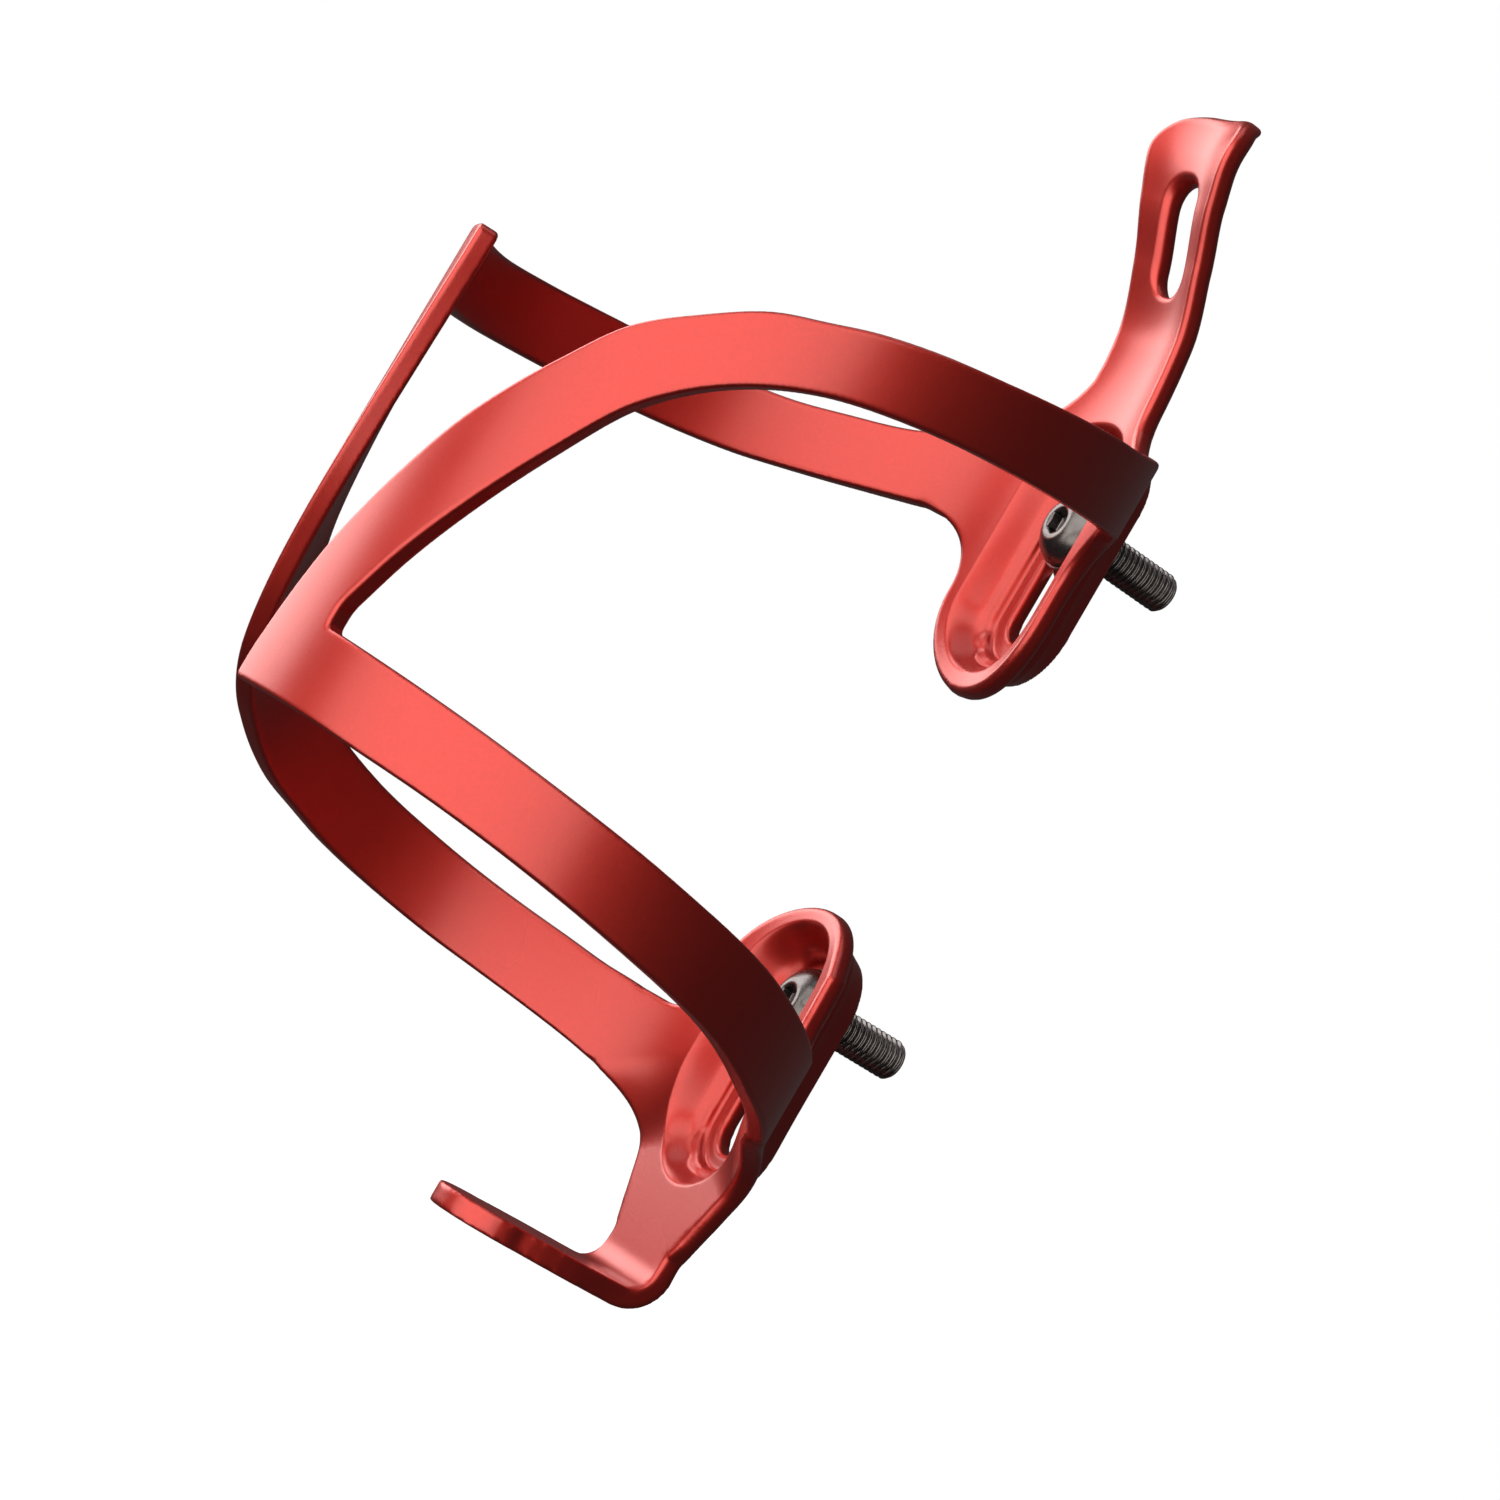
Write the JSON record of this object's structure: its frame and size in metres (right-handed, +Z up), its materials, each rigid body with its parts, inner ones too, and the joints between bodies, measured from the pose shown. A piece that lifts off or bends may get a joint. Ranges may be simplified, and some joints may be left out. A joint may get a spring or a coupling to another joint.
{
  "type": "water bottle cage",
  "caption": "Open-sided bicycle bottle cage: two looping wings, dished slotted mounting pads, a top retention tab and a flat foot shelf.",
  "frame": {"origin": "on the rear mounting plane of the cage, midway between the two bolts", "axes": "+Z up along the bottle, +Y towards the bicycle frame, the bottle stands on the -Y side"},
  "size_m": [0.0782, 0.0963, 0.1552],
  "materials": {
    "anodised_red": "satin, fine bead-blasted red anodising",
    "bolt_steel": "polished",
    "washer_steel": "bright"
  },
  "bodies": {
    "cage": {"cage_body": "anodised_red"},
    "upper_stack": {"upper_washer": "washer_steel", "upper_spacer": "washer_steel"},
    "upper_bolt": {"upper_bolt": "bolt_steel"},
    "lower_stack": {"lower_washer": "washer_steel"},
    "lower_bolt": {"lower_bolt": "bolt_steel"}
  },
  "joints": [
    {"name": "upper_height_slide", "type": "slide", "parent": "cage", "child": "upper_stack", "axis": [0, 0, 1], "range_m": [-0.0115, 0]},
    {"name": "lower_height_slide", "type": "slide", "parent": "cage", "child": "lower_stack", "axis": [0, 0, 1], "range_m": [-0.0115, 0]},
    {"name": "upper_bolt_turn", "type": "hinge", "parent": "upper_stack", "child": "upper_bolt", "pos_m": [0, 0, 0.032], "axis": [0, 1, 0], "continuous": true},
    {"name": "lower_bolt_turn", "type": "hinge", "parent": "lower_stack", "child": "lower_bolt", "pos_m": [0, 0, -0.032], "axis": [0, 1, 0], "continuous": true}
  ],
  "couplings": [
    {"joint": "lower_height_slide", "follows": "upper_height_slide", "ratio": 1}
  ]
}
